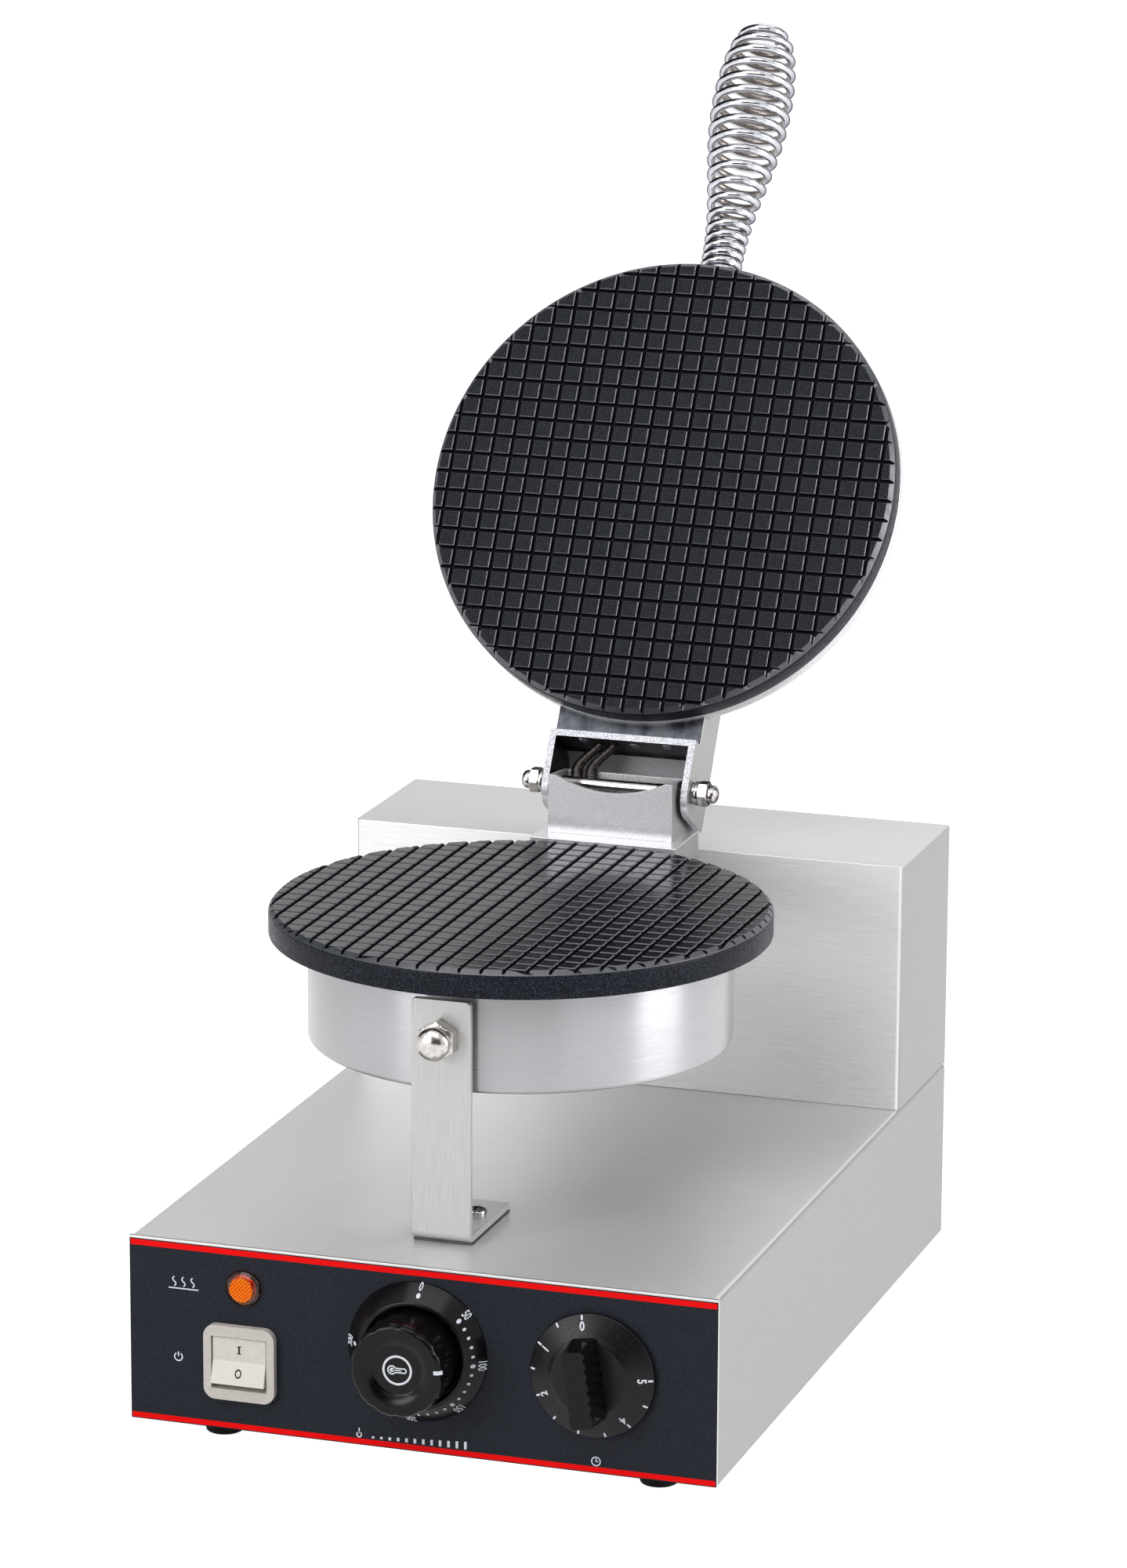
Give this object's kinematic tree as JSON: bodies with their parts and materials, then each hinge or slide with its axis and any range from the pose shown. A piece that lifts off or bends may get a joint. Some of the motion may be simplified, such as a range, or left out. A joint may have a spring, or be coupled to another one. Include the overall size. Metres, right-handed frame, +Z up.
{
  "type": "electric krumkake iron",
  "caption": "Electric waffle-cone baker: round gridded plates, the upper on a hinged lid with a spring handle, over a steel base with dial, timer and switch.",
  "frame": {"origin": "on the floor, under the middle of the open machine's overall width and depth", "axes": "+X to the user's right, +Y to the back, where the lid leans, and +Z up"},
  "size_m": [0.251, 0.5042, 0.5342],
  "materials": {
    "casing": "brushed along the width",
    "panel": "matte speckled film with red stripes",
    "rubber": "matte",
    "coated_plate": "semi-gloss non-stick coating",
    "pan_steel": "brushed round",
    "bracket_steel": "bright sheet with rough cut edges",
    "plated_hardware": "zinc or nickel plated",
    "chrome": "bright",
    "conduit": "ribbed metal sleeve",
    "black_plastic": "gloss",
    "switch_plastic": "satin ivory",
    "rocker_plastic": "satin warm grey",
    "lamp_amber": "clear amber, cut on its inside",
    "control_bodies": "matte",
    "shaft_brass": "plain"
  },
  "bodies": {
    "base": {"base_housing": "casing", "rear_housing": "casing", "rear_cover": "casing", "bottom_plate": "casing", "control_panel": "panel", "rubber_feet": "rubber", "lower_plate": "coated_plate", "lower_pan": "pan_steel", "hinge_arm": "bracket_steel", "hinge_tray": "bracket_steel", "support_strip": "bracket_steel", "support_pad": "bracket_steel", "support_bolt": "plated_hardware", "support_nut": "plated_hardware", "dial_bezel": "black_plastic", "cable_gland": "black_plastic", "switch_frame": "switch_plastic", "lamp_lens": "lamp_amber", "lamp_body": "control_bodies", "switch_body": "control_bodies", "thermostat": "control_bodies", "timer_body": "control_bodies"},
    "lid": {"lid_bracket": "bracket_steel", "lid_saddle": "bracket_steel", "hinge_stud": "plated_hardware", "hinge_nuts": "plated_hardware", "conduits": "conduit", "upper_pan": "pan_steel", "upper_plate": "coated_plate", "handle_spring": "chrome", "handle_stud": "plated_hardware"},
    "temperature_knob": {"temperature_knob": "black_plastic", "thermostat_shaft": "shaft_brass"},
    "timer_knob": {"timer_knob": "black_plastic", "timer_shaft": "shaft_brass"},
    "power_rocker": {"power_rocker": "rocker_plastic"}
  },
  "joints": [
    {"name": "lid_hinge", "type": "hinge", "parent": "base", "child": "lid", "pos_m": [0, 0.0343, 0.2256], "axis": [1, 0, 0], "range_deg": [0, 120.6], "deforming": ["conduits"]},
    {"name": "temperature_knob_turn", "type": "hinge", "parent": "base", "child": "temperature_knob", "pos_m": [-0.0007, -0.2251, 0.0528], "axis": [0, 1, 0], "range_deg": [-87.6, 182.4]},
    {"name": "timer_knob_turn", "type": "hinge", "parent": "base", "child": "timer_knob", "pos_m": [0.0739, -0.2251, 0.0517], "axis": [0, 1, 0], "range_deg": [0, 270]},
    {"name": "power_rocker_tilt", "type": "hinge", "parent": "base", "child": "power_rocker", "pos_m": [-0.077, -0.2211, 0.0392], "axis": [1, 0, 0], "range_deg": [0, 16]}
  ]
}
